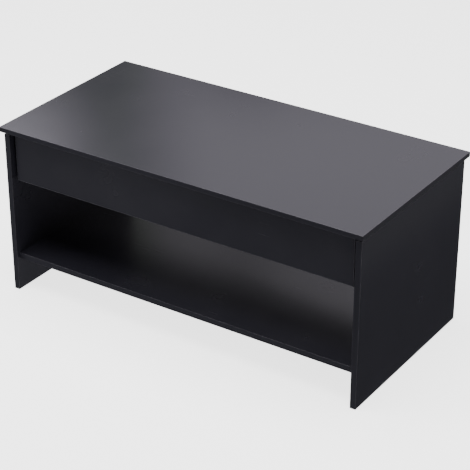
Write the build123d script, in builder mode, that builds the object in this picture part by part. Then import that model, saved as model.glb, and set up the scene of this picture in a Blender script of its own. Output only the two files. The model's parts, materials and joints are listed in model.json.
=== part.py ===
from build123d import *
import os
from math import cos, radians, sin

# Lift-top coffee table.  Millimetres, +Z up, front towards -Y, origin on the ground
# under the middle of the closed lid.

# ---------------------------------------------------------------- overall sizes
lid_length = 1000.0
lid_depth = 500.0
table_height = 445.0
board = 15.0                    # thickness of every board but the lid
lid_board = 12.0

# ---------------------------------------------------------------- boards
lid_end_overhang = 7.0
lid_front_overhang = 10.0
lid_back_overhang = 12.0
lid_gap = 8.0                   # closed lid above the side panels
shelf_height = 100.0            # top of the lower shelf
shelf_setback = 11.0            # shelf behind the front of the side panels
compartment_depth = 115.0       # compartment floor to closed lid
apron_setback = 12.0
apron_end_gap = 8.0
apron_floor_gap = 2.0           # apron to the boards behind it
rail_height = 50.0
back_board_setback = 5.0
edge_band = 1.0                 # thickness of the plastic edging
arris = 0.6                     # rounding of the edging

# ---------------------------------------------------------------- lift mechanism
arm_length = 0.44 * lid_depth   # between an arm's two main pivots
pivot_spacing = 0.16 * lid_depth
pivot_drop = 28.0               # rear pivot below the front one
closed_angle = 8.0              # arms above the horizontal, pointing to the rear
open_angle = 120.0
arm_width = 24.0
arm_thickness = 4.0
plate = 2.5                     # base plates and top rails
washer = 1.0
side_gap = 0.2                  # play each side of an arm
pivot_radius = 4.0
running_fit = 0.05
loose_fit = 0.15
head_radius = 7.5
head_thickness = 2.0
head_round = 0.8                # rounding of rivet heads and pins
washer_rim = 1.0                # washer past the rivet's head
plate_round = 0.5               # rounding of the arms and base plates
pivot_behind = 40.0             # rear top pivot in front of the back board, lid closed
rear_pivot_height = 17.0        # rear base pivot above the compartment floor
tail_length = 30.0              # lug in front of the main pivot, for the spring
spring_radius = 7.0
spring_wire = 2.0
spring_hook = 14.0              # post to the first coil
spring_reach = 0.44 * lid_depth
spring_height = 11.0            # anchor above the compartment floor
post_radius = 3.0
post_rim = 1.2                  # collar that keeps the loop on its post
post_collar = 1.5
stop_pin_radius = 2.5
stop_sleeve_radius = 5.0
stop_cap = 1.2                  # head that keeps the sleeve on its pin
stop_gap = 0.3
rail_flange = 30.0
rail_screw_share = 0.6          # screws across the flange, as a share of its width
rail_strip = 14.0
rail_front_reach = 0.36 * lid_depth
rail_rear_reach = 24.0
rail_bend = 1.5                 # inside radius of the bend
front_boss_margin = 15.0        # base plate past its pivots, stop and anchor
rear_boss_margin = 11.5
anchor_margin = 6.5
stop_margin = 5.0
nose_reach = 34.0               # front end of the base plate, from its main pivot at most
nose_height = 12.0
nose_radius = 10.0

# ---------------------------------------------------------------- fasteners
cam_radius = 7.5
cam_depth = 12.0
cam_distance = 24.0             # cam centre from the end of its board
cam_bolt_radius = 2.5
cam_slot = 1.6                  # driver cross in a cam
cam_slot_depth = 2.0
cam_bolt_head_radius = 3.5
cam_bolt_head = 3.0
cam_bolt_collar = 8.0
cam_bolt_neck_radius = 1.8
cam_bolt_grip = 0.75            # thread in the face of a board, as a share of the board
cam_bolt_play = 0.5
dowel_radius = 4.0
dowel_grip = 2 / 3              # depth in the face of a board, as a share of the board
dowel_long = 20.0               # depth in the end of a board
screw_radius = 1.75
screw_head_radius = 3.75
screw_head_height = 2.0
screw_length = 13.0             # past the base plate
lid_screw_length = 9.0          # past the rail's flange
pan_head_height = 2.2
pan_head_round = 1.2
driver_slot = 1.0               # driver cross in a screw head
driver_slot_depth = 1.0

# ---------------------------------------------------------------- places that follow
lid_underside = table_height - lid_board
panel_outer = lid_length / 2 - lid_end_overhang
panel_inner = panel_outer - board
panel_front = -lid_depth / 2 + lid_front_overhang
panel_back = lid_depth / 2 - lid_back_overhang
panel_top = lid_underside - lid_gap
floor_top = lid_underside - compartment_depth
floor_underside = floor_top - board
apron_front = panel_front + apron_setback
apron_back = apron_front + board
apron_half = panel_inner - apron_end_gap
inner_front = apron_back + apron_floor_gap
rail_back = inner_front + board
rail_top = floor_top + rail_height
back_board_back = panel_back - back_board_setback
back_board_front = back_board_back - board
shelf_front = panel_front + shelf_setback
shelf_middle = shelf_height - board / 2
floor_middle = floor_top - board / 2

closed_y = arm_length * cos(radians(closed_angle))
closed_z = arm_length * sin(radians(closed_angle))
rear_top_pivot = (back_board_front - pivot_behind, floor_top + rear_pivot_height + closed_z)
rear_base_pivot = (rear_top_pivot[0] - closed_y, rear_top_pivot[1] - closed_z)
front_base_pivot = (rear_base_pivot[0] - pivot_spacing, rear_base_pivot[1] + pivot_drop)
front_top_pivot = (front_base_pivot[0] + closed_y, front_base_pivot[1] + closed_z)
tail = (
    front_base_pivot[0] - tail_length * cos(radians(closed_angle)),
    front_base_pivot[1] - tail_length * sin(radians(closed_angle)),
)
spring_anchor = (front_base_pivot[0] + spring_reach, floor_top + spring_height)

# The stop stands where the tail meets it when the lid is down, and the arm when it is up.
stop_turn = (180.0 + closed_angle + open_angle) / 2
stop_half_turn = (180.0 + closed_angle - open_angle) / 2
stop_reach = (arm_width / 2 + stop_sleeve_radius + stop_gap) / sin(radians(stop_half_turn))
stop = (
    front_base_pivot[0] + stop_reach * cos(radians(stop_turn)),
    front_base_pivot[1] + stop_reach * sin(radians(stop_turn)),
)

# Distances from the inner face of a side panel towards the middle of the table.
arm_start = plate + washer + side_gap
arm_end = arm_start + arm_thickness
rail_start = arm_end + side_gap + washer
rail_end = rail_start + plate
spring_line = arm_end + side_gap + head_thickness + spring_radius + spring_wire
post_end = spring_line + spring_wire + stop_gap + post_collar
sleeve_end = arm_end + stop_cap

sides = {"left": -1, "right": 1}


def block(low, high, mode=Mode.ADD):
    """Box between two opposite corners."""
    middle = tuple((a + b) / 2 for a, b in zip(low, high))
    size = tuple(b - a for a, b in zip(low, high))
    with Locations(middle):
        Box(*size, mode=mode)


def across(side, distance):
    """Plane parallel to a side panel, at a distance inwards from its inner face."""
    return Plane.YZ.offset(side * (panel_inner - distance))


def round_bar(side, place, radius, start, end, mode=Mode.ADD):
    """Round bar across the table, between two distances from a side panel."""
    with BuildSketch(across(side, start)) as profile:
        with Locations(place):
            Circle(radius)
    extrude(profile.sketch, amount=-side * (end - start), mode=mode)


def bar(plane, radius, length, mode=Mode.ADD):
    """Round bar, or hole, from a plane along its normal."""
    with BuildSketch(plane) as profile:
        Circle(radius)
    extrude(profile.sketch, amount=length, mode=mode)


def end_plane(side, y, z):
    """Plane at a side panel's inner face, facing the middle of the table."""
    return Plane(origin=(side * panel_inner, y, z), z_dir=(-side, 0, 0))


def apron_top_plane(x):
    """Plane at the top edge of the apron, facing down."""
    return Plane(origin=(x, (apron_front + apron_back) / 2, lid_underside), z_dir=(0, 0, -1))


def panel_screw_plane(side, y, z):
    """Plane at the face of a base plate, facing into the side panel."""
    return Plane(origin=(side * (panel_inner - plate), y, z), z_dir=(side, 0, 0))


# ---------------------------------------------------------------- where the fasteners go
cam_y = 0.3 * lid_depth
shelf_cams = [(side, y, shelf_middle) for side in sides.values() for y in (-cam_y, cam_y)]
floor_cams = [(side, y, floor_middle) for side in sides.values() for y in (-cam_y, cam_y)]
back_middle = (back_board_front + back_board_back) / 2
back_height = panel_top - floor_top
back_cams = [
    (side, back_middle, floor_top + share * back_height)
    for side in sides.values()
    for share in (0.25, 0.75)
]
rail_middle = (inner_front + rail_back) / 2
rail_cams = [(side, rail_middle, floor_top + rail_height / 2) for side in sides.values()]
shelf_dowels = [(side, 0.0, shelf_middle) for side in sides.values()]
floor_dowels = [(side, 0.0, floor_middle) for side in sides.values()]
back_dowels = [(side, back_middle, floor_top + back_height / 2) for side in sides.values()]
apron_cam_places = [-0.38 * lid_length, 0.0, 0.38 * lid_length]
apron_dowel_places = [-0.2 * lid_length, 0.2 * lid_length]
nose_y = max(front_base_pivot[0] - nose_reach, rail_back + nose_radius + side_gap)
nose = (nose_y, floor_top + nose_height)
below_pivot = (front_base_pivot[0], (floor_top + front_base_pivot[1]) / 2)
panel_screw_places = [nose, below_pivot] + [
    tuple(a + share * (b - a) for a, b in zip(rear_base_pivot, spring_anchor))
    for share in (0.25, 0.8)
]
rail_front = front_top_pivot[0] - rail_front_reach
rail_rear = rear_top_pivot[0] + rail_rear_reach
rail_screw_places = [
    rail_front + share * (rail_rear - rail_front) for share in (0.06, 0.35, 0.65, 0.94)
]
base_plate_holes = [
    (front_base_pivot, pivot_radius),
    (rear_base_pivot, pivot_radius),
    (spring_anchor, post_radius),
    (stop, stop_pin_radius),
]


def cam_plane(place, facing):
    """Plane on the face of a board where a cam goes in, facing into the board."""
    side, y, z = place
    x = side * (panel_inner - cam_distance)
    if facing == "down":
        return Plane(origin=(x, y, z - board / 2), z_dir=(0, 0, 1))
    if facing == "front":
        return Plane(origin=(x, y - board / 2, z), z_dir=(0, 1, 0))
    return Plane(origin=(x, y + board / 2, z), z_dir=(0, -1, 0))


def cam_hole(face_plane, bolt_plane):
    """Holes for a cam and for its bolt."""
    bar(face_plane, cam_radius, cam_depth, Mode.SUBTRACT)
    bar(bolt_plane, cam_bolt_head_radius + cam_bolt_play, cam_distance, Mode.SUBTRACT)


def cross_cut(plane, span, width, depth):
    """Driver cross cut from a plane along its normal."""
    with BuildSketch(plane) as cross:
        Rectangle(span, width)
        Rectangle(width, span)
    extrude(cross.sketch, amount=depth, mode=Mode.SUBTRACT)


def cam(face_plane, bolt_plane):
    """Cam disc with its driver cross and the mouth that grips the bolt."""
    with BuildPart() as disc:
        bar(face_plane, cam_radius, cam_depth)
        cross_cut(face_plane, cam_radius, cam_slot, cam_slot_depth)
        bar(bolt_plane, cam_bolt_head_radius + cam_bolt_play, cam_distance + cam_slot, Mode.SUBTRACT)
    return disc.part


def cam_bolt(plane, thread):
    """Bolt screwed into a board's face, its neck and head reaching out into the cam."""
    bar(plane.offset(-thread), cam_bolt_radius, thread)
    bar(plane, cam_bolt_head_radius, cam_bolt_collar)
    neck_length = cam_distance - cam_bolt_collar - cam_bolt_head
    bar(plane.offset(cam_bolt_collar), cam_bolt_neck_radius, neck_length)
    bar(plane.offset(cam_distance - cam_bolt_head), cam_bolt_head_radius, cam_bolt_head)


def lid_screw_plane(side, y):
    """Plane at the lid's underside over a rail's flange, facing up."""
    x = side * (panel_inner - rail_start - rail_screw_share * rail_flange)
    return Plane(origin=(x, y, lid_underside), z_dir=(0, 0, 1))


def lid_head_plane(side, y):
    """Plane at the underside of a rail's flange, facing down."""
    return Plane(origin=lid_screw_plane(side, y).offset(-plate).origin, z_dir=(0, 0, -1))


def facing_plane(side, place, distance, facing):
    """Plane across a pin, at a distance from a side panel, facing along X."""
    return Plane(origin=(side * (panel_inner - distance), *place), z_dir=(facing, 0, 0))


def apron_cam_plane(x):
    """Plane on the back of the apron, facing forwards."""
    return Plane(origin=(x, apron_back, lid_underside - cam_distance), z_dir=(0, -1, 0))


def screw_head(plane, mode=Mode.ADD):
    """Countersunk head, or the hole it sits in, from a plane along its normal."""
    with Locations(plane):
        Cone(
            screw_head_radius,
            screw_radius,
            screw_head_height,
            align=(Align.CENTER, Align.CENTER, Align.MIN),
            mode=mode,
        )


def button(plane, radius, height, rounding):
    """Round head standing on a plane, its outer rim rounded."""
    with BuildPart() as head:
        bar(plane, radius, height)
        fillet(head.edges().sort_by(Axis(plane.origin, plane.z_dir))[-1], rounding)
    return head.part


def rounded_plate(outline, plane, amount):
    """Flat plate with its outer edges rounded on both faces."""
    with BuildPart() as flat:
        with BuildSketch(plane):
            add(outline)
        extrude(amount=amount)
        fillet(flat.edges().filter_by(Axis.X, reverse=True), plate_round)
    return flat.part


def arm_outline(start, end):
    """Flat bar with round ends."""
    with BuildSketch(Plane.XY, mode=Mode.PRIVATE) as outline:
        with Locations(start, end):
            Circle(arm_width / 2)
        make_hull()
    return outline.sketch


def top_rail_outline():
    """Part of a top rail's web that hangs down, around the two pivots."""
    with BuildSketch(Plane.XY, mode=Mode.PRIVATE) as outline:
        with Locations(front_top_pivot, rear_top_pivot):
            Circle(arm_width / 2)
        for y in (front_top_pivot[0] - arm_width, rear_top_pivot[0] + arm_width / 2):
            with Locations((y, lid_underside - rail_strip / 2)):
                Rectangle(plate, plate)
        make_hull()
    return outline.sketch


def rail_section(side):
    """L section of a top rail, bent from one strip: the web's upper part and the flange."""
    outer_x = side * (panel_inner - rail_start)
    bend_corner = (outer_x, lid_underside)
    inner_corner = (outer_x - side * plate, lid_underside - plate)
    with BuildSketch(Plane.XY, mode=Mode.PRIVATE) as section:
        with Locations((outer_x - side * plate / 2, lid_underside - rail_strip / 2)):
            Rectangle(plate, rail_strip)
        with Locations((outer_x - side * rail_flange / 2, lid_underside - plate / 2)):
            Rectangle(rail_flange, plate)
        fillet(section.vertices().sort_by_distance(bend_corner)[0], rail_bend + plate)
        fillet(section.vertices().sort_by_distance(inner_corner)[0], rail_bend)
    return section.sketch


def base_plate_outline():
    """Outline of a base plate, around its two pivots, the stop and the spring's anchor."""
    with BuildSketch(Plane.XY, mode=Mode.PRIVATE) as outline:
        with Locations(front_base_pivot):
            Circle(pivot_radius + front_boss_margin)
        with Locations(rear_base_pivot):
            Circle(pivot_radius + rear_boss_margin)
        with Locations(spring_anchor):
            Circle(post_radius + anchor_margin)
        with Locations(stop):
            Circle(stop_pin_radius + stop_margin)
        with Locations(nose):
            Circle(nose_radius)
        make_hull()
    return outline.sketch


def finish(builder, name):
    """Names a finished piece and writes it."""
    builder.part.label = name
    export_step(builder.part, f"parts/{name}.step")


os.makedirs("parts", exist_ok=True)

# ---------------------------------------------------------------- side panels
for name, side in sides.items():
    low_x = min(side * panel_inner, side * panel_outer)
    with BuildPart() as side_panel:
        block(
            (low_x, panel_front + edge_band, 0),
            (low_x + board, panel_back - edge_band, panel_top - edge_band),
        )
        for place in shelf_cams + floor_cams + back_cams + rail_cams:
            if place[0] == side:
                bar(end_plane(*place), cam_bolt_radius, -cam_bolt_grip * board, Mode.SUBTRACT)
        for place in shelf_dowels + floor_dowels + back_dowels:
            if place[0] == side:
                bar(end_plane(*place), dowel_radius, -dowel_grip * board, Mode.SUBTRACT)
        for y, z in panel_screw_places:
            bar(panel_screw_plane(side, y, z), screw_radius, screw_length, Mode.SUBTRACT)
    finish(side_panel, f"{name}_side_panel")

    with BuildPart() as panel_edging:
        with BuildSketch(Plane.YZ.offset(low_x)):
            with Locations(((panel_front + panel_back) / 2, panel_top / 2)):
                Rectangle(panel_back - panel_front, panel_top)
            with Locations(((panel_front + panel_back) / 2, (panel_top - edge_band) / 2)):
                Rectangle(
                    panel_back - panel_front - 2 * edge_band,
                    panel_top - edge_band,
                    mode=Mode.SUBTRACT,
                )
        extrude(amount=board)
        top_edges = panel_edging.edges().filter_by(Axis.Y).group_by(Axis.Z)[-1]
        front_edges = panel_edging.edges().filter_by(Axis.Z).group_by(Axis.Y)[0]
        back_edges = panel_edging.edges().filter_by(Axis.Z).group_by(Axis.Y)[-1]
        fillet(top_edges + front_edges + back_edges, arris)
    finish(panel_edging, f"{name}_panel_edging")

# ---------------------------------------------------------------- lower shelf
with BuildPart() as lower_shelf:
    block(
        (-panel_inner, shelf_front + edge_band, shelf_height - board),
        (panel_inner, panel_back - edge_band, shelf_height),
    )
    for place in shelf_cams:
        cam_hole(cam_plane(place, "down"), end_plane(*place))
    for place in shelf_dowels:
        bar(end_plane(*place), dowel_radius, dowel_long, Mode.SUBTRACT)
finish(lower_shelf, "lower_shelf")

# ---------------------------------------------------------------- hidden compartment
with BuildPart() as compartment_floor:
    block(
        (-panel_inner, inner_front + edge_band, floor_underside),
        (panel_inner, panel_back - edge_band, floor_top),
    )
    for place in floor_cams:
        cam_hole(cam_plane(place, "down"), end_plane(*place))
    for place in floor_dowels:
        bar(end_plane(*place), dowel_radius, dowel_long, Mode.SUBTRACT)
finish(compartment_floor, "compartment_floor")

with BuildPart() as back_board:
    block(
        (-panel_inner, back_board_front, floor_top),
        (panel_inner, back_board_back, panel_top - edge_band),
    )
    for place in back_cams:
        cam_hole(cam_plane(place, "front"), end_plane(*place))
    for place in back_dowels:
        bar(end_plane(*place), dowel_radius, dowel_long, Mode.SUBTRACT)
finish(back_board, "back_board")

with BuildPart() as front_rail:
    block(
        (-panel_inner, inner_front, floor_top),
        (panel_inner, rail_back, rail_top - edge_band),
    )
    for place in rail_cams:
        cam_hole(cam_plane(place, "back"), end_plane(*place))
finish(front_rail, "front_rail")


def edging_strip(low, high, axis, end):
    """Strip of edging along X, rounded on the two corners that face outwards."""
    with BuildPart() as strip:
        block(low, high)
        fillet(strip.edges().filter_by(Axis.X).group_by(axis)[end], arris)
    return strip.part


shelf_strips = [
    edging_strip(
        (-panel_inner, shelf_front, shelf_height - board),
        (panel_inner, shelf_front + edge_band, shelf_height), Axis.Y, 0),
    edging_strip(
        (-panel_inner, panel_back - edge_band, shelf_height - board),
        (panel_inner, panel_back, shelf_height), Axis.Y, -1),
]
with BuildPart() as shelf_edging:
    add(shelf_strips)
finish(shelf_edging, "shelf_edging")

floor_strips = [
    edging_strip(
        (-panel_inner, inner_front, floor_underside),
        (panel_inner, inner_front + edge_band, floor_top), Axis.Y, 0),
    edging_strip(
        (-panel_inner, panel_back - edge_band, floor_underside),
        (panel_inner, panel_back, floor_top), Axis.Y, -1),
]
with BuildPart() as floor_edging:
    add(floor_strips)
finish(floor_edging, "floor_edging")

back_strip = edging_strip(
    (-panel_inner, back_board_front, panel_top - edge_band),
    (panel_inner, back_board_back, panel_top), Axis.Z, -1)
with BuildPart() as back_board_edging:
    add(back_strip)
finish(back_board_edging, "back_board_edging")

rail_strip_part = edging_strip(
    (-panel_inner, inner_front, rail_top - edge_band),
    (panel_inner, rail_back, rail_top), Axis.Z, -1)
with BuildPart() as front_rail_edging:
    add(rail_strip_part)
finish(front_rail_edging, "front_rail_edging")

# ---------------------------------------------------------------- cabinet fasteners
cam_places = (
    [(place, "down") for place in shelf_cams + floor_cams]
    + [(place, "front") for place in back_cams]
    + [(place, "back") for place in rail_cams]
)
cam_discs = [cam(cam_plane(place, facing), end_plane(*place)) for place, facing in cam_places]
with BuildPart() as cams:
    add(cam_discs)
finish(cams, "cabinet_cams")

with BuildPart() as cam_bolts:
    for place, facing in cam_places:
        cam_bolt(end_plane(*place), cam_bolt_grip * board)
finish(cam_bolts, "cabinet_cam_bolts")

panel_dowel_depth = dowel_grip * board
with BuildPart() as dowels:
    for place in shelf_dowels + floor_dowels + back_dowels:
        bar(end_plane(*place).offset(-panel_dowel_depth), dowel_radius, panel_dowel_depth + dowel_long)
finish(dowels, "cabinet_dowels")

# ---------------------------------------------------------------- lid and apron
with BuildPart() as lid:
    block(
        (-lid_length / 2 + edge_band, -lid_depth / 2 + edge_band, lid_underside),
        (lid_length / 2 - edge_band, lid_depth / 2 - edge_band, table_height),
    )
    for x in apron_cam_places:
        bar(apron_top_plane(x), cam_bolt_radius, -cam_bolt_grip * lid_board, Mode.SUBTRACT)
    for x in apron_dowel_places:
        bar(apron_top_plane(x), dowel_radius, -dowel_grip * lid_board, Mode.SUBTRACT)
    for side in sides.values():
        for y in rail_screw_places:
            bar(lid_screw_plane(side, y), screw_radius, lid_screw_length, Mode.SUBTRACT)
finish(lid, "lid")

with BuildPart() as lid_edging:
    with BuildSketch(Plane.XY.offset(lid_underside)) as ring:
        Rectangle(lid_length, lid_depth)
        fillet(ring.vertices(), edge_band)
        Rectangle(lid_length - 2 * edge_band, lid_depth - 2 * edge_band, mode=Mode.SUBTRACT)
    extrude(amount=lid_board)
    for face in (lid_edging.faces().sort_by(Axis.Z)[0], lid_edging.faces().sort_by(Axis.Z)[-1]):
        fillet(face.outer_wire().edges(), arris)
finish(lid_edging, "lid_edging")

with BuildPart() as apron:
    block(
        (-apron_half + edge_band, apron_front, floor_underside + edge_band),
        (apron_half - edge_band, apron_back, lid_underside),
    )
    for x in apron_cam_places:
        cam_hole(apron_cam_plane(x), apron_top_plane(x))
    for x in apron_dowel_places:
        bar(apron_top_plane(x), dowel_radius, dowel_long, Mode.SUBTRACT)
finish(apron, "apron")

with BuildPart() as apron_edging:
    with BuildSketch(Plane.XZ.offset(-apron_back)):
        with Locations((0, (floor_underside + lid_underside) / 2)):
            Rectangle(2 * apron_half, lid_underside - floor_underside)
        with Locations((0, (floor_underside + edge_band + lid_underside) / 2)):
            Rectangle(
                2 * (apron_half - edge_band),
                lid_underside - floor_underside - edge_band,
                mode=Mode.SUBTRACT,
            )
    extrude(amount=board)
    bottom_edges = apron_edging.edges().filter_by(Axis.X).group_by(Axis.Z)[0]
    left_edges = apron_edging.edges().filter_by(Axis.Z).group_by(Axis.X)[0]
    right_edges = apron_edging.edges().filter_by(Axis.Z).group_by(Axis.X)[-1]
    fillet(bottom_edges + left_edges + right_edges, arris)
finish(apron_edging, "apron_edging")

apron_cam_discs = [cam(apron_cam_plane(x), apron_top_plane(x)) for x in apron_cam_places]
with BuildPart() as apron_cams:
    add(apron_cam_discs)
finish(apron_cams, "apron_cams")

with BuildPart() as apron_cam_bolts:
    for x in apron_cam_places:
        cam_bolt(apron_top_plane(x), cam_bolt_grip * lid_board)
finish(apron_cam_bolts, "apron_cam_bolts")

lid_dowel_depth = dowel_grip * lid_board
with BuildPart() as apron_dowels:
    for x in apron_dowel_places:
        bar(apron_top_plane(x).offset(-lid_dowel_depth), dowel_radius, lid_dowel_depth + dowel_long)
finish(apron_dowels, "apron_dowels")

# ---------------------------------------------------------------- lift mechanism
for name, side in sides.items():
    inwards = -side
    base_blank = rounded_plate(base_plate_outline(), across(side, 0), inwards * plate)
    with BuildPart() as base_plate:
        add(base_blank)
        for y, z in panel_screw_places:
            bar(panel_screw_plane(side, y, z), screw_radius, plate, Mode.SUBTRACT)
            screw_head(panel_screw_plane(side, y, z), Mode.SUBTRACT)
        for place, radius in base_plate_holes:
            round_bar(side, place, radius, 0, plate, Mode.SUBTRACT)
    finish(base_plate, f"{name}_base_plate")

    base_head = arm_end + side_gap
    base_heads = [
        button(facing_plane(side, place, base_head, inwards), head_radius, head_thickness, head_round)
        for place in (front_base_pivot, rear_base_pivot)
    ]
    with BuildPart() as base_pivots:
        for place in (front_base_pivot, rear_base_pivot):
            round_bar(side, place, pivot_radius, 0, base_head)
        add(base_heads)
    finish(base_pivots, f"{name}_base_pivots")

    with BuildPart() as base_washers:
        for place in (front_base_pivot, rear_base_pivot):
            round_bar(side, place, head_radius + washer_rim, plate, plate + washer)
            round_bar(side, place, pivot_radius, plate, plate + washer, Mode.SUBTRACT)
    finish(base_washers, f"{name}_base_washers")

    anchor_collar = button(
        facing_plane(side, spring_anchor, post_end - post_collar, inwards),
        post_radius + post_rim, post_collar, head_round)
    with BuildPart() as anchor_pin:
        round_bar(side, spring_anchor, post_radius, 0, post_end - post_collar)
        add(anchor_collar)
    finish(anchor_pin, f"{name}_spring_anchor_pin")

    stop_head = button(
        facing_plane(side, stop, sleeve_end, inwards), stop_sleeve_radius, stop_cap, head_round)
    with BuildPart() as stop_pin:
        round_bar(side, stop, stop_pin_radius, 0, sleeve_end)
        add(stop_head)
    finish(stop_pin, f"{name}_stop_pin")

    with BuildPart() as stop_sleeve:
        round_bar(side, stop, stop_sleeve_radius, plate, sleeve_end)
        round_bar(side, stop, stop_pin_radius, plate, sleeve_end, Mode.SUBTRACT)
    finish(stop_sleeve, f"{name}_stop_sleeve")

    arm_plane = across(side, arm_start)
    front_blank = rounded_plate(arm_outline(tail, front_top_pivot), arm_plane, inwards * arm_thickness)
    top_fit = running_fit if name == "left" else loose_fit
    front_holes = [
        (front_base_pivot, pivot_radius + running_fit),
        (front_top_pivot, pivot_radius + top_fit),
        (tail, post_radius),
    ]
    with BuildPart() as front_arm:
        add(front_blank)
        for place, radius in front_holes:
            round_bar(side, place, radius, arm_start, arm_end, Mode.SUBTRACT)
    finish(front_arm, f"{name}_front_arm")

    tail_collar = button(
        facing_plane(side, tail, post_end - post_collar, inwards),
        post_radius + post_rim, post_collar, head_round)
    with BuildPart() as tail_pin:
        round_bar(side, tail, post_radius, arm_start, post_end - post_collar)
        add(tail_collar)
    finish(tail_pin, f"{name}_spring_tail_pin")

    rear_blank = rounded_plate(
        arm_outline(rear_base_pivot, rear_top_pivot), arm_plane, inwards * arm_thickness)
    rear_holes = [
        (rear_base_pivot, pivot_radius + running_fit),
        (rear_top_pivot, pivot_radius + loose_fit),
    ]
    with BuildPart() as rear_arm:
        add(rear_blank)
        for place, radius in rear_holes:
            round_bar(side, place, radius, arm_start, arm_end, Mode.SUBTRACT)
    finish(rear_arm, f"{name}_rear_arm")

    with BuildPart() as top_rail:
        with BuildSketch(across(side, rail_start)):
            add(top_rail_outline())
        extrude(amount=inwards * plate)
        with BuildSketch(Plane.XZ.offset(-rail_rear)):
            add(rail_section(side))
        extrude(amount=rail_rear - rail_front)
        for place in (front_top_pivot, rear_top_pivot):
            round_bar(side, place, pivot_radius, rail_start, rail_end, Mode.SUBTRACT)
        for y in rail_screw_places:
            bar(lid_screw_plane(side, y).offset(-plate), screw_radius, plate, Mode.SUBTRACT)
    finish(top_rail, f"{name}_top_rail")

    top_head = arm_start - side_gap
    top_heads = [
        button(facing_plane(side, place, top_head, side), head_radius, head_thickness, head_round)
        for place in (front_top_pivot, rear_top_pivot)
    ]
    with BuildPart() as top_pivots:
        for place in (front_top_pivot, rear_top_pivot):
            round_bar(side, place, pivot_radius, top_head, rail_end)
            round_bar(side, place, pivot_radius + post_rim, rail_end, rail_end + post_rim)
        add(top_heads)
    finish(top_pivots, f"{name}_top_pivots")

    with BuildPart() as top_washers:
        for place in (front_top_pivot, rear_top_pivot):
            round_bar(side, place, head_radius + washer_rim, arm_end + side_gap, rail_start)
            round_bar(side, place, pivot_radius, arm_end + side_gap, rail_start, Mode.SUBTRACT)
    finish(top_washers, f"{name}_top_washers")

    with BuildPart() as base_screws:
        for y, z in panel_screw_places:
            plane = panel_screw_plane(side, y, z)
            screw_head(plane)
            bar(plane, screw_radius, screw_length)
            cross_cut(plane, screw_head_radius, driver_slot, driver_slot_depth)
    finish(base_screws, f"{name}_base_plate_screws")

    pan_heads = [
        button(lid_head_plane(side, y), screw_head_radius, pan_head_height, pan_head_round)
        for y in rail_screw_places
    ]
    with BuildPart() as rail_screws:
        add(pan_heads)
        for y in rail_screw_places:
            bar(lid_screw_plane(side, y).offset(-plate), screw_radius, plate + lid_screw_length)
            recess = lid_screw_plane(side, y).offset(-plate - pan_head_height)
            cross_cut(recess, screw_head_radius, driver_slot, driver_slot_depth)
    finish(rail_screws, f"{name}_top_rail_screws")

    spring_x = side * (panel_inner - spring_line)
    tail_end = Vector(spring_x, *tail)
    anchor_end = Vector(spring_x, *spring_anchor)
    along = (anchor_end - tail_end).normalized()
    reach = (anchor_end - tail_end).length
    loop_radius = post_radius + stop_gap + spring_wire / 2
    with BuildPart() as spring:
        coil_plane = Plane(origin=tail_end + along * spring_hook, z_dir=along)
        coil_length = reach - 2 * spring_hook
        bar(coil_plane, spring_radius, coil_length)
        bar(coil_plane, spring_radius - spring_wire, coil_length, Mode.SUBTRACT)
        for end, inwards_along in ((tail_end, along), (anchor_end, along * -1)):
            with Locations(Plane(origin=end, z_dir=(1, 0, 0))):
                Torus(loop_radius, spring_wire / 2)
            tang = Plane(origin=end + inwards_along * loop_radius, z_dir=inwards_along)
            bar(tang, spring_wire / 2, spring_hook - loop_radius + spring_wire)
            cap = Plane(origin=end + inwards_along * spring_hook, z_dir=inwards_along)
            bar(cap, spring_radius, spring_wire)
    finish(spring, f"{name}_spring")
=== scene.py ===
import json
import math

import bmesh
import bpy
from mathutils import Matrix, Vector


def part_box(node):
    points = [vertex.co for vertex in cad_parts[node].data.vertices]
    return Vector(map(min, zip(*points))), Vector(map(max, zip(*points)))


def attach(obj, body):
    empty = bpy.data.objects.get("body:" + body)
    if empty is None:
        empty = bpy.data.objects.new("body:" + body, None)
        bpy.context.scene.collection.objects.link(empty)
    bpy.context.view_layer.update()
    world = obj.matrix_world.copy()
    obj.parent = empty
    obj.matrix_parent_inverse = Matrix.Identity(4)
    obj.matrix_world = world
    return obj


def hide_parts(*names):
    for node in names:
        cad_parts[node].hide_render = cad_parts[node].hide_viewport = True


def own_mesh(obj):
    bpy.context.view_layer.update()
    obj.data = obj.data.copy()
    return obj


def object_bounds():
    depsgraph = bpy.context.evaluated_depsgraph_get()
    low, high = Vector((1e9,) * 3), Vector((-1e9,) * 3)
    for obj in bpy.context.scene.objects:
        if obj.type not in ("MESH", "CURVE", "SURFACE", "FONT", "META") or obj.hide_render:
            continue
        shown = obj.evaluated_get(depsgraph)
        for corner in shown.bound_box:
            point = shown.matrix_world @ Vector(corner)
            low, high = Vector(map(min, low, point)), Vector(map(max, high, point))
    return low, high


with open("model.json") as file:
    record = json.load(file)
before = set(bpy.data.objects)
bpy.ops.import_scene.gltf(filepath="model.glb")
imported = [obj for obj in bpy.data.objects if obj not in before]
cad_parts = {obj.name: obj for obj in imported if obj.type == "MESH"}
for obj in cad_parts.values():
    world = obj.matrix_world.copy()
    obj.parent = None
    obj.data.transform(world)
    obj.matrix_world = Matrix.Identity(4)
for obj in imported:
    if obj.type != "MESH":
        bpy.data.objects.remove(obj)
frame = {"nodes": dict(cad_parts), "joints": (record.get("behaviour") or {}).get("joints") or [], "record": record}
bounds_of_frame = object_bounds()
nodes = frame["nodes"]
record = frame["record"]

low, high = (Vector(corner) for corner in bounds_of_frame)
table_height = high.z - low.z

# ---------------------------------------------------------------- node-tree helpers


def new_material(name):
    """An empty node material and its shader."""
    material = bpy.data.materials.new(name)
    material.use_nodes = True
    shader = material.node_tree.nodes["Principled BSDF"]
    return material, shader


def add_node(material, kind):
    """A new node in a material."""
    return material.node_tree.nodes.new(kind)


def link(material, output, target):
    """Join a node's output to an input."""
    material.node_tree.links.new(output, target)


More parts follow.
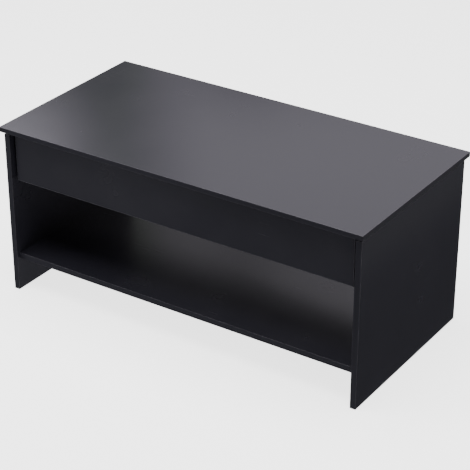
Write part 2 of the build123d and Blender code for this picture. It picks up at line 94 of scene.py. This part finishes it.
def object_coordinates(material, stretch=(1.0, 1.0, 1.0)):
    """Object coordinates, stretched for grain or brushing."""
    source = add_node(material, "ShaderNodeTexCoord")
    mapping = add_node(material, "ShaderNodeMapping")
    mapping.inputs["Scale"].default_value = stretch
    link(material, source.outputs["Object"], mapping.inputs["Vector"])
    return mapping.outputs["Vector"]


def noise(material, vector, scale, detail=4.0, roughness=0.55):
    """Noise texture's value."""
    texture = add_node(material, "ShaderNodeTexNoise")
    texture.inputs["Scale"].default_value = scale
    texture.inputs["Detail"].default_value = detail
    texture.inputs["Roughness"].default_value = roughness
    link(material, vector, texture.inputs["Vector"])
    return texture.outputs["Fac"]


def remap(material, value, between, to=(0.0, 1.0)):
    """A value moved from one range to another, held inside it."""
    node = add_node(material, "ShaderNodeMapRange")
    node.inputs["From Min"].default_value, node.inputs["From Max"].default_value = between
    node.inputs["To Min"].default_value, node.inputs["To Max"].default_value = to
    link(material, value, node.inputs["Value"])
    return node.outputs["Result"]


def math_node(material, operation, first, second):
    """Arithmetic on two values; either may be a number."""
    node = add_node(material, "ShaderNodeMath")
    node.operation = operation
    for socket, value in zip(node.inputs, (first, second)):
        if isinstance(value, (int, float)):
            socket.default_value = value
        else:
            link(material, value, socket)
    return node.outputs["Value"]


def mix_colour(material, factor, first, second):
    """Blend of two colours by a value."""
    node = add_node(material, "ShaderNodeMix")
    node.data_type = "RGBA"
    link(material, factor, node.inputs["Factor"])
    for socket, colour in ((node.inputs["A"], first), (node.inputs["B"], second)):
        if isinstance(colour, tuple):
            socket.default_value = colour
        else:
            link(material, colour, socket)
    return node.outputs["Result"]


def bump(material, height, distance, strength, under=None):
    """Bump from a height, over an earlier one."""
    node = add_node(material, "ShaderNodeBump")
    node.inputs["Distance"].default_value = distance
    node.inputs["Strength"].default_value = strength
    link(material, height, node.inputs["Height"])
    if under is not None:
        link(material, under, node.inputs["Normal"])
    return node.outputs["Normal"]


# Cosine of the angle between a face and its rounded normal: just off an edge, and right on it.
EDGE_LEAN = (0.98, 0.75)


def edge_mask(material, radius):
    """1 along sharp edges and 0 on flat faces."""
    rounded = add_node(material, "ShaderNodeBevel")
    rounded.inputs["Radius"].default_value = radius
    geometry = add_node(material, "ShaderNodeNewGeometry")
    dot = add_node(material, "ShaderNodeVectorMath")
    dot.operation = "DOT_PRODUCT"
    link(material, rounded.outputs["Normal"], dot.inputs[0])
    link(material, geometry.outputs["Normal"], dot.inputs[1])
    return remap(material, dot.outputs["Value"], between=EDGE_LEAN)


# ---------------------------------------------------------------- materials


def melamine():
    """Black satin melamine: fine pearl texture, faint smudges and hairline scuffs."""
    material, shader = new_material("black melamine board")
    place = object_coordinates(material)
    pearl = noise(material, place, scale=1400.0, detail=2.0)
    ripple = noise(material, place, scale=26.0, detail=2.0)
    smudge = noise(material, place, scale=9.0, detail=3.0, roughness=0.5)
    along = object_coordinates(material, stretch=(4.0, 240.0, 240.0))
    scuff = remap(material, noise(material, along, scale=1.6, detail=3.0), between=(0.7, 0.78))
    marks = remap(material, smudge, between=(0.42, 0.72))
    # Lighter arrises: partly edge wear, partly a painted highlight along the edges.
    wear_and_highlight = edge_mask(material, radius=0.0008)
    colour = mix_colour(material, marks, (0.0175, 0.017, 0.0232, 1), (0.0195, 0.0188, 0.0252, 1))
    faint_wear_and_highlight = math_node(material, "MULTIPLY", wear_and_highlight, 0.5)
    colour = mix_colour(material, faint_wear_and_highlight, colour, (0.05, 0.05, 0.055, 1))
    link(material, colour, shader.inputs["Base Color"])
    gloss = remap(material, smudge, between=(0.3, 0.7), to=(0.24, 0.275))
    gloss = math_node(material, "ADD", gloss, math_node(material, "MULTIPLY", scuff, 0.015))
    link(material, gloss, shader.inputs["Roughness"])
    shader.inputs["IOR"].default_value = 1.5
    normal = bump(material, pearl, distance=0.00002, strength=0.35)
    normal = bump(material, ripple, distance=0.0004, strength=0.1, under=normal)
    link(material, normal, shader.inputs["Normal"])
    return material


def edging():
    """Black plastic edging, lighter along its corners: partly rubbed wear, partly a painted highlight."""
    material, shader = new_material("black edging")
    place = object_coordinates(material)
    along = object_coordinates(material, stretch=(6.0, 300.0, 300.0))
    streak = noise(material, along, scale=3.0, detail=3.0)
    pearl = noise(material, place, scale=1800.0, detail=2.0)
    edge_patch_noise = noise(material, place, scale=60.0)
    # Painted highlight along the arrises, broken into patches like rubbed wear.
    corners = edge_mask(material, radius=0.0014)
    patches = remap(material, edge_patch_noise, between=(0.35, 0.7), to=(0.3, 1.0))
    wear_and_highlight = math_node(material, "MULTIPLY", corners, patches)
    colour = mix_colour(material, wear_and_highlight, (0.0135, 0.013, 0.019, 1), (0.17, 0.165, 0.185, 1))
    link(material, colour, shader.inputs["Base Color"])
    link(material, remap(material, streak, between=(0.3, 0.7), to=(0.28, 0.4)), shader.inputs["Roughness"])
    link(material, bump(material, pearl, distance=0.00002, strength=0.4), shader.inputs["Normal"])
    return material


def black_steel():
    """Powder-coated steel: orange-peel skin and chips at the edges."""
    material, shader = new_material("black powder-coated steel")
    place = object_coordinates(material)
    peel = noise(material, place, scale=500.0, detail=3.0)
    chips = noise(material, place, scale=160.0, detail=5.0, roughness=0.65)
    corners = edge_mask(material, radius=0.0009)
    worn = math_node(material, "MULTIPLY", corners, remap(material, chips, between=(0.52, 0.6)))
    colour = mix_colour(material, worn, (0.022, 0.022, 0.024, 1), (0.42, 0.41, 0.4, 1))
    link(material, colour, shader.inputs["Base Color"])
    link(material, worn, shader.inputs["Metallic"])
    link(material, remap(material, peel, between=(0.3, 0.7), to=(0.38, 0.52)), shader.inputs["Roughness"])
    link(material, bump(material, peel, distance=0.0001, strength=0.25), shader.inputs["Normal"])
    return material


def bare_metal(name, light, dark, roughness, brush):
    """Plated or bare metal with fine brushing and dull patches."""
    material, shader = new_material(name)
    place = object_coordinates(material)
    along = object_coordinates(material, stretch=brush)
    scratch = noise(material, along, scale=4.0, detail=5.0, roughness=0.65)
    patch = noise(material, place, scale=90.0)
    link(material, mix_colour(material, patch, light, dark), shader.inputs["Base Color"])
    shader.inputs["Metallic"].default_value = 1.0
    shade = math_node(material, "MULTIPLY", patch, scratch)
    link(material, remap(material, shade, between=(0.1, 0.5), to=roughness), shader.inputs["Roughness"])
    link(material, bump(material, scratch, distance=0.00004, strength=0.5), shader.inputs["Normal"])
    return material


def plain_polymer(name, colour, dirt, roughness):
    """Nylon or rubber: soft mottling and moulding grain."""
    material, shader = new_material(name)
    place = object_coordinates(material)
    grain = noise(material, place, scale=900.0, detail=3.0)
    mottle = noise(material, place, scale=120.0)
    link(material, mix_colour(material, mottle, colour, dirt), shader.inputs["Base Color"])
    link(material, remap(material, grain, between=(0.3, 0.7), to=roughness), shader.inputs["Roughness"])
    link(material, bump(material, grain, distance=0.00003, strength=0.5), shader.inputs["Normal"])
    return material


def beech():
    """Turned beech with fine flecks along X."""
    material, shader = new_material("beech")
    along = object_coordinates(material, stretch=(40.0, 700.0, 700.0))
    grain = noise(material, along, scale=2.0, detail=5.0, roughness=0.6)
    colour = mix_colour(material, grain, (0.62, 0.42, 0.24, 1), (0.36, 0.2, 0.1, 1))
    link(material, colour, shader.inputs["Base Color"])
    link(material, remap(material, grain, between=(0.3, 0.7), to=(0.5, 0.65)), shader.inputs["Roughness"])
    link(material, bump(material, grain, distance=0.0001, strength=0.4), shader.inputs["Normal"])
    return material


finishes = {
    "black_board": melamine(),
    "edging": edging(),
    "black_steel": black_steel(),
    "zinc_steel": bare_metal(
        "zinc-plated steel", light=(0.66, 0.66, 0.64, 1), dark=(0.5, 0.5, 0.47, 1),
        roughness=(0.22, 0.4), brush=(60.0, 900.0, 900.0),
    ),
    "cast_zinc": bare_metal(
        "cast zinc", light=(0.5, 0.5, 0.52, 1), dark=(0.36, 0.36, 0.38, 1),
        roughness=(0.42, 0.6), brush=(700.0, 700.0, 700.0),
    ),
    "spring_steel": bare_metal(
        "spring steel", light=(0.42, 0.42, 0.43, 1), dark=(0.27, 0.26, 0.26, 1),
        roughness=(0.25, 0.45), brush=(300.0, 300.0, 300.0),
    ),
    "nylon": plain_polymer(
        "natural nylon", colour=(0.78, 0.77, 0.71, 1), dirt=(0.66, 0.64, 0.57, 1), roughness=(0.38, 0.52)
    ),
    "sleeve_rubber": plain_polymer(
        "black rubber", colour=(0.016, 0.016, 0.016, 1), dirt=(0.03, 0.03, 0.03, 1), roughness=(0.68, 0.82)
    ),
    "beech": beech(),
}

for subpart in record["subparts"]:
    finish = finishes[subpart["material_slot"]]
    slots = nodes[subpart["node"]].data.materials
    for index in range(len(slots)):
        slots[index] = finish
    if not slots:
        slots.append(finish)

# ---------------------------------------------------------------- springs
WIRE_SIDES = 10
STEPS_PER_TURN = 20
LOOP_TURN = math.radians(300)
COIL_TO_WIRE = 7      # outer radius of the coils, in wire radii
PITCH_TO_WIRE = 3.4   # from one coil to the next, in wire radii
HOOK_TO_WIRE = 5      # straight wire between a loop and the coils, in wire radii
LOOP_TO_PIN = 1.2     # radius of a loop, in half the height of the anchor pin


def middle(node):
    """Middle of a CAD node's box."""
    corner, opposite = (Vector(c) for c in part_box(node))
    return (corner + opposite) / 2


def sweep_wire(name, path, radius):
    """Round wire along a path of points, made by extruding one ring from point to point."""
    shape = bmesh.new()
    headings = [(after - before).normalized() for before, after in zip(path[:-1], path[1:])]
    orientation = Vector((0, 0, 1)).rotation_difference(headings[0]).to_matrix()
    ring = bmesh.ops.create_circle(shape, segments=WIRE_SIDES, radius=radius, cap_ends=False)["verts"]
    bmesh.ops.transform(shape, matrix=Matrix.Translation(path[0]) @ orientation.to_4x4(), verts=ring)
    first = ring
    edges = list(shape.edges)
    for index in range(1, len(path)):
        if index < len(headings):
            ahead = (headings[index - 1] + headings[index]).normalized()
        else:
            ahead = headings[-1]
        behind = orientation @ Vector((0, 0, 1))
        turn = behind.rotation_difference(ahead).to_matrix()
        new = bmesh.ops.extrude_edge_only(shape, edges=edges)["geom"]
        ring = [item for item in new if isinstance(item, bmesh.types.BMVert)]
        edges = [item for item in new if isinstance(item, bmesh.types.BMEdge)]
        move = Matrix.Translation(path[index]) @ turn.to_4x4() @ Matrix.Translation(-path[index - 1])
        bmesh.ops.transform(shape, matrix=move, verts=ring)
        orientation = turn @ orientation
    bmesh.ops.contextual_create(shape, geom=first)
    bmesh.ops.contextual_create(shape, geom=ring)
    bmesh.ops.recalc_face_normals(shape, faces=shape.faces)
    mesh = bpy.data.meshes.new(name)
    shape.to_mesh(mesh)
    shape.free()
    mesh.polygons.foreach_set("use_smooth", [True] * len(mesh.polygons))
    piece = bpy.data.objects.new(name, mesh)
    bpy.context.scene.collection.objects.link(piece)
    return piece


def spring_path(tail, anchor, coil_radius, wire_radius, loop_radius):
    """Loop round the tail pin, open coils that run in at both ends, and a loop round the anchor pin."""
    along = (anchor - tail).normalized()
    across = Vector((1, 0, 0))
    up = along.cross(across)
    path = []
    for step in range(STEPS_PER_TURN + 1):
        angle = LOOP_TURN * (step / STEPS_PER_TURN) - LOOP_TURN
        path.append(tail + loop_radius * (math.cos(angle) * along + math.sin(angle) * up))
    hook = HOOK_TO_WIRE * wire_radius + loop_radius
    coil_start = tail + along * hook
    coil_length = (anchor - tail).length - 2 * hook
    turns = round(coil_length / (PITCH_TO_WIRE * wire_radius))
    coil_steps = turns * STEPS_PER_TURN
    for step in range(coil_steps + 1):
        angle = 2 * math.pi * step / STEPS_PER_TURN
        rise = coil_length * step / coil_steps
        spread = coil_radius * min(1.0, step / STEPS_PER_TURN * 2, (coil_steps - step) / STEPS_PER_TURN * 2)
        path.append(coil_start + along * rise + spread * (math.cos(angle) * up + math.sin(angle) * across))
    for step in range(STEPS_PER_TURN + 1):
        angle = math.pi + LOOP_TURN * step / STEPS_PER_TURN
        path.append(anchor + loop_radius * (math.cos(angle) * along + math.sin(angle) * up))
    return path


lift = next(joint for joint in frame["joints"] if joint["name"] == "lift")

for side in ("left", "right"):
    anchor_pin = f"{side}_spring_anchor_pin"
    corner, opposite = (Vector(c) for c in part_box(f"{side}_spring"))
    spring_x = (corner.x + opposite.x) / 2
    coil_outer = (opposite.x - corner.x) / 2
    wire_radius = coil_outer / COIL_TO_WIRE
    tail = middle(f"{side}_spring_tail_pin")
    anchor = middle(anchor_pin)
    tail.x = spring_x
    anchor.x = spring_x
    pin_low, pin_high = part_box(anchor_pin)
    loop_radius = LOOP_TO_PIN * (pin_high[2] - pin_low[2]) / 2
    path = spring_path(tail, anchor, coil_outer - wire_radius, wire_radius, loop_radius)
    spring = sweep_wire(f"{side}_coil_spring", path, wire_radius)
    spring.data.materials.append(finishes["spring_steel"])
    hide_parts(f"{side}_spring")
    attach(spring, "cabinet")

    # The tail pin comes towards the anchor as the lid goes up, so the spring shortens. Here the spring only gets a
    # mesh of its own; the pivot worked out below is not used.
    pivot = Vector(lift["pos_m"])
    pivot.x = spring_x
    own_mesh(spring)

# ---------------------------------------------------------------- studio
BLACK = (0.0, 0.0, 0.0)
PALE_GREY = (0.9, 0.9, 0.9)
WHITE = (1.0, 1.0, 1.0)
FLAT = (0, 0, 0)
VIEW_ROUND = 33.64    # degrees that the camera stands to the right of straight ahead
VIEW_DOWN = 28.156    # degrees that it looks down

aim = Vector((0.0, 0.0, table_height / 2))
view_azimuth = math.radians(VIEW_ROUND)
view_tilt = math.radians(90 - VIEW_DOWN)


def stage_plane(name, size, place, turn, colour, light, glow):
    """Flat sheet of the studio, which isn't part of the table."""
    shape = bmesh.new()
    bmesh.ops.create_grid(shape, x_segments=1, y_segments=1, size=0.5)
    bmesh.ops.scale(shape, vec=(size[0], size[1], 1), verts=shape.verts)
    mesh = bpy.data.meshes.new(name)
    shape.to_mesh(mesh)
    shape.free()
    sheet = bpy.data.objects.new(name, mesh)
    sheet.location = place
    sheet.rotation_euler = turn
    bpy.context.scene.collection.objects.link(sheet)
    material, shader = new_material(name)
    shader.inputs["Base Color"].default_value = (*colour, 1)
    shader.inputs["Roughness"].default_value = 0.9
    shader.inputs["Specular IOR Level"].default_value = 0.0
    shader.inputs["Emission Color"].default_value = (*light, 1)
    shader.inputs["Emission Strength"].default_value = glow
    mesh.materials.append(material)
    return sheet


def soft_light(name, size, place, watts):
    """Soft rectangular light facing the table."""
    light = bpy.data.lights.new(name, "AREA")
    light.shape = "RECTANGLE"
    light.size, light.size_y = size
    light.energy = watts
    lamp = bpy.data.objects.new(name, light)
    lamp.location = place
    lamp.rotation_euler = (aim - Vector(place)).to_track_quat("-Z", "Y").to_euler()
    bpy.context.scene.collection.objects.link(lamp)


floor = stage_plane(
    "studio floor", size=(60, 60), place=(0, 0, low.z), turn=FLAT, colour=PALE_GREY, light=WHITE, glow=2.6
)
floor.visible_glossy = False
floor.visible_diffuse = False
floor.visible_shadow = False

# Light that comes back up from the floor, kept apart from how bright the floor looks.
BOUNCE_DEPTH = 0.02
bounce_place = (0, 0, low.z - BOUNCE_DEPTH)
bounce = stage_plane(
    "bounce card", size=(8, 8), place=bounce_place, turn=FLAT, colour=BLACK, light=WHITE, glow=1.5
)
bounce.visible_camera = False
bounce.visible_glossy = False

world = bpy.data.worlds.new("studio")
world.use_nodes = True
world.node_tree.nodes["Background"].inputs["Color"].default_value = (1, 1, 1.05, 1)
world.node_tree.nodes["Background"].inputs["Strength"].default_value = 0.18
bpy.context.scene.world = world

soft_light("overhead softbox", size=(3.0, 3.0), place=(0.0, -0.3, 3.6), watts=190)
soft_light("left softbox", size=(1.6, 2.0), place=(-3.0, -1.8, 2.2), watts=40)

# Pale walls behind the table, which its lid and shelf mirror.
WALL_DISTANCE = 1.1
WALL_FOOT = 0.84
WALL_TOP = 3.0
LILAC = (0.95, 0.91, 1.0)
GREENISH = (0.93, 1.0, 0.92)
GREEN_BELOW = 0.45    # a panel dimmer than this is greenish
FADE_STEPS = 5        # panels in each fade

back_direction = Vector((-math.sin(view_azimuth), math.cos(view_azimuth), 0))
side_direction = Vector((math.cos(view_azimuth), math.sin(view_azimuth), 0))


def seen_in_mirrored_light_only(sheet):
    """Hide a sheet from the camera, and keep its light and shadow off matt faces."""
    sheet.visible_camera = False
    sheet.visible_diffuse = False
    sheet.visible_shadow = False


def mirror_wall(name, start, end, foot, top, glow, tint):
    """Upright glowing panel facing the table, between two places along the wall and two heights."""
    across_wall = side_direction * (start + end) / 2 + Vector((0, 0, (foot + top) / 2))
    turn = (math.radians(90), 0, view_azimuth)
    place = back_direction * WALL_DISTANCE + across_wall
    wall = stage_plane(name, (end - start, top - foot), place, turn, BLACK, tint, glow)
    seen_in_mirrored_light_only(wall)


def mirror_row(name, stops, foot, top):
    """Row of panels between places along the wall, each with its glow, that fade from one to the next."""
    for number, ((start, first), (end, last)) in enumerate(zip(stops[:-1], stops[1:])):
        steps = 1 if first == last else FADE_STEPS
        width = (end - start) / steps
        for step in range(steps):
            glow = first + (last - first) * (step + 0.5) / steps
            tint = GREENISH if glow < GREEN_BELOW else LILAC
            place = start + step * width
            mirror_wall(f"{name} {number + 1} {step + 1}", place, place + width, foot, top, glow, tint)


# Each stop is a place along the wall, in metres, and how bright the wall is there.
mirror_row(
    "upper mirror wall",
    [(-2.6, 2.1), (-0.62, 2.1), (-0.42, 0.44), (-0.3, 0.44), (-0.1, 1.2), (2.6, 1.2)],
    foot=WALL_FOOT,
    top=WALL_TOP,
)
mirror_row(
    "low mirror wall",
    [
        (-2.6, 0.22), (-0.34, 0.22), (-0.2, 0.62), (-0.08, 0.62),
        (0.02, 0.46), (0.1, 0.46), (0.2, 0.66), (2.6, 0.66),
    ],
    foot=0.0,
    top=WALL_FOOT,
)

CARD_DEPTH = 0.01     # how far the dark cards lie under the floor


def dark_card(name, size, middle_x, middle_y, glow):
    """Dim card just under the floor."""
    place = (middle_x, middle_y, low.z - CARD_DEPTH)
    card = stage_plane(name, size, place, FLAT, BLACK, WHITE, glow)
    seen_in_mirrored_light_only(card)


dark_card("right dark card", size=(0.31, 3.0), middle_x=high.x + 0.155, middle_y=0.6, glow=0.05)
dark_card("front dark card", size=(0.8, 0.9), middle_x=0.02, middle_y=-0.87, glow=0.08)

camera_data = bpy.data.cameras.new("camera")
camera_data.lens = 128.6
camera_data.sensor_width = 36.0
camera = bpy.data.objects.new("camera", camera_data)
camera.location = (1.995, -2.981, 2.109)
camera.rotation_euler = (view_tilt, 0, view_azimuth)
bpy.context.scene.collection.objects.link(camera)
bpy.context.scene.camera = camera
